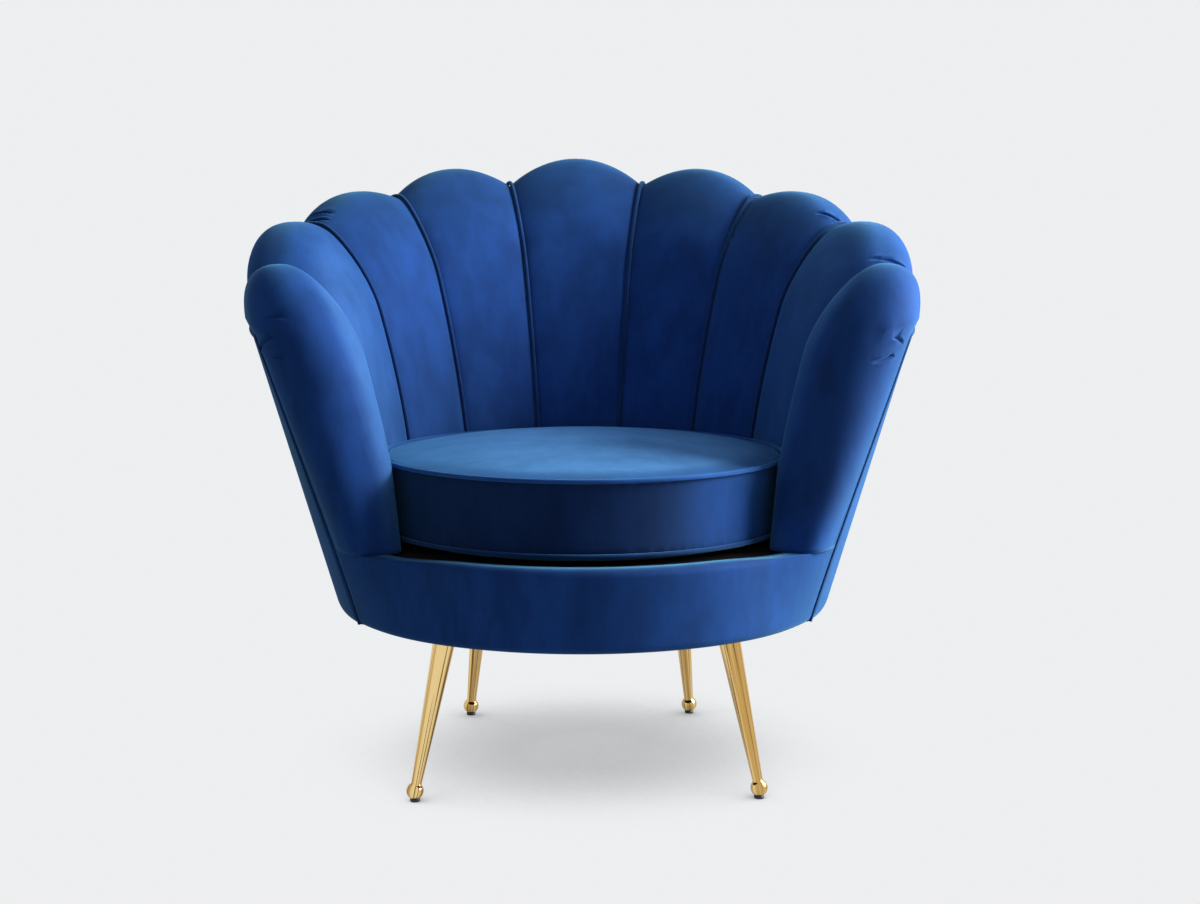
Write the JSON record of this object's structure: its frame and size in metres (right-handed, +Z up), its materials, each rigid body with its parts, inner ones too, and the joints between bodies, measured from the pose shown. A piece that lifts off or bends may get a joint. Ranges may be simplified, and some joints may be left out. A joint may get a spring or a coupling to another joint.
{
  "type": "upholstered tub chair",
  "caption": "Round velvet tub chair with a scalloped channelled back, a loose boxed round seat cushion and splayed tapered metal legs with ball feet.",
  "frame": {"origin": "on the floor, under the middle of the chair's bounding box", "axes": "+Z up, -Y the way the chair faces, +X to the right for someone facing the seat"},
  "size_m": [0.8618, 0.783, 0.7645],
  "materials": {
    "velvet": "royal blue velvet with a short soft pile",
    "piping": "the same velvet cut on the bias over a round cord",
    "timber": "bare sawn hardwood and plywood",
    "foam": "open-cell upholstery foam",
    "black_cloth": "thin black non-woven lining",
    "steel": "zinc-coated steel",
    "gold_metal": "polished gold-coloured plating",
    "glide": "black rubber"
  },
  "bodies": {
    "chair": {"back_channel_1": "velvet", "back_channel_2": "velvet", "back_channel_3": "velvet", "back_channel_4": "velvet", "back_channel_5": "velvet", "back_channel_6": "velvet", "back_channel_7": "velvet", "back_channel_8": "velvet", "back_channel_9": "velvet", "outer_back_cover": "velvet", "base_front_band": "velvet", "back_welt_1": "piping", "back_welt_2": "piping", "back_welt_3": "piping", "back_welt_4": "piping", "back_welt_5": "piping", "back_welt_6": "piping", "back_welt_7": "piping", "back_welt_8": "piping", "outer_cover_welt": "piping", "inner_back_board": "timber", "top_rail": "timber", "seat_cross_rail": "timber", "arm_front_board_left": "timber", "arm_front_board_right": "timber", "back_rib_1": "timber", "back_rib_2": "timber", "back_rib_3": "timber", "back_rib_4": "timber", "back_rib_5": "timber", "back_rib_6": "timber", "seat_rail_rear": "timber", "seat_rail_right": "timber", "seat_rail_front": "timber", "seat_rail_left": "timber", "corner_block_front_left": "timber", "corner_block_front_right": "timber", "sinuous_spring_1": "steel", "sinuous_spring_2": "steel", "sinuous_spring_3": "steel", "sinuous_spring_4": "steel", "leg_plate_front_left": "steel", "leg_plate_front_right": "steel", "leg_plate_rear_left": "steel", "leg_plate_rear_right": "steel", "leg_front_left": "gold_metal", "leg_front_right": "gold_metal", "leg_rear_left": "gold_metal", "leg_rear_right": "gold_metal", "glide_front_left": "glide", "glide_front_right": "glide", "glide_rear_left": "glide", "glide_rear_right": "glide", "seat_deck": "black_cloth", "dust_cover": "black_cloth"},
    "cushion": {"cushion_cover": "velvet", "cushion_foam": "foam", "cushion_top_welt": "piping", "cushion_low_welt": "piping"}
  },
  "joints": [
    {"name": "cushion_lift", "type": "slide", "parent": "chair", "child": "cushion", "axis": [0, 0, 1], "range_m": [0, 0.48]}
  ]
}
